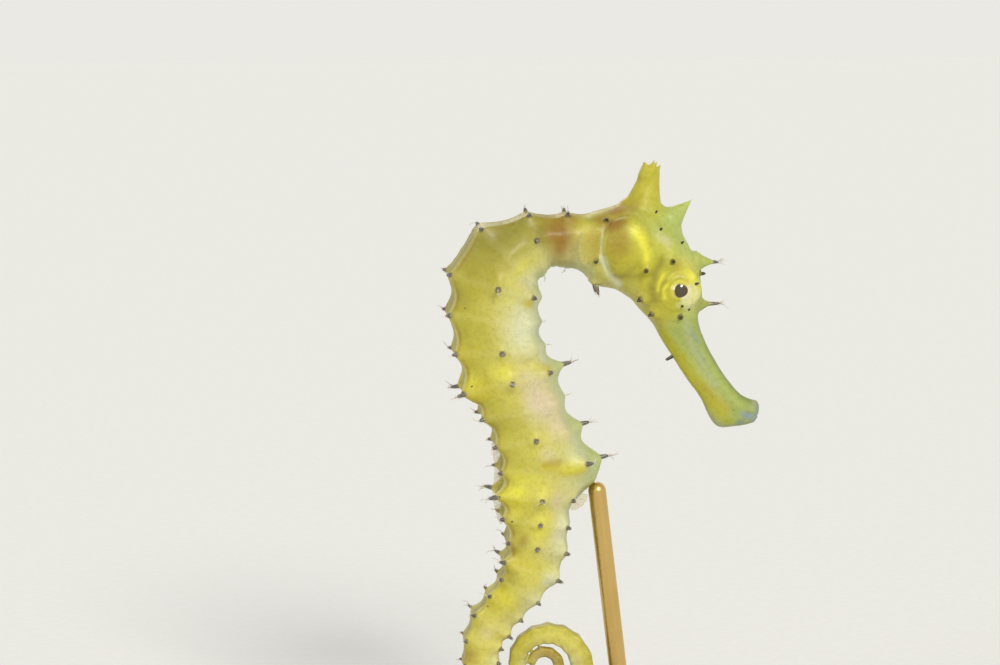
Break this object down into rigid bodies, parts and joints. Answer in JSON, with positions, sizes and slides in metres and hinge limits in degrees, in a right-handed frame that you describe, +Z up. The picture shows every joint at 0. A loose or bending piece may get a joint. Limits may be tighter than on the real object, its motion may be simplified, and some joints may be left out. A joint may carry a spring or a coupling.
{
  "type": "seahorse on a display stand",
  "caption": "Life-size thorny seahorse with a long snout, a tall crown, ringed spiny body and coiled tail, held over a round wooden base by slim rods.",
  "frame": {"origin": "centre of the round base's underside", "axes": "+Z up, +X the way the seahorse faces, +Y its left side"},
  "size_m": [0.046, 0.046, 0.0652],
  "materials": {
    "skin": "satin, moist skin over bony rings: yellow and pale cream-green",
    "eye": "wet and glossy, with a dark brown pupil",
    "fin": "thin, pale and see-through, with fine rays",
    "walnut": "satin oiled walnut",
    "brass_rod": "satin"
  },
  "bodies": {
    "root": {"head": "skin", "coronet": "skin", "jaws": "skin", "snout": "skin", "neck": "skin", "trunk_upper": "skin", "trunk_middle": "skin", "trunk_lower": "skin", "tail_1": "skin", "tail_2": "skin", "tail_3": "skin", "tail_4": "skin", "tail_5": "skin", "tail_6": "skin", "tail_7": "skin", "tail_8": "skin", "tail_9": "skin", "tail_10": "skin", "eye_left": "eye", "eye_right": "eye", "pectoral_fin_left": "fin", "pectoral_fin_right": "fin", "dorsal_fin": "fin", "anal_fin": "fin", "stand_base": "walnut", "stand_rod_belly": "brass_rod", "stand_rod_tail": "brass_rod"}
  },
  "joints": []
}
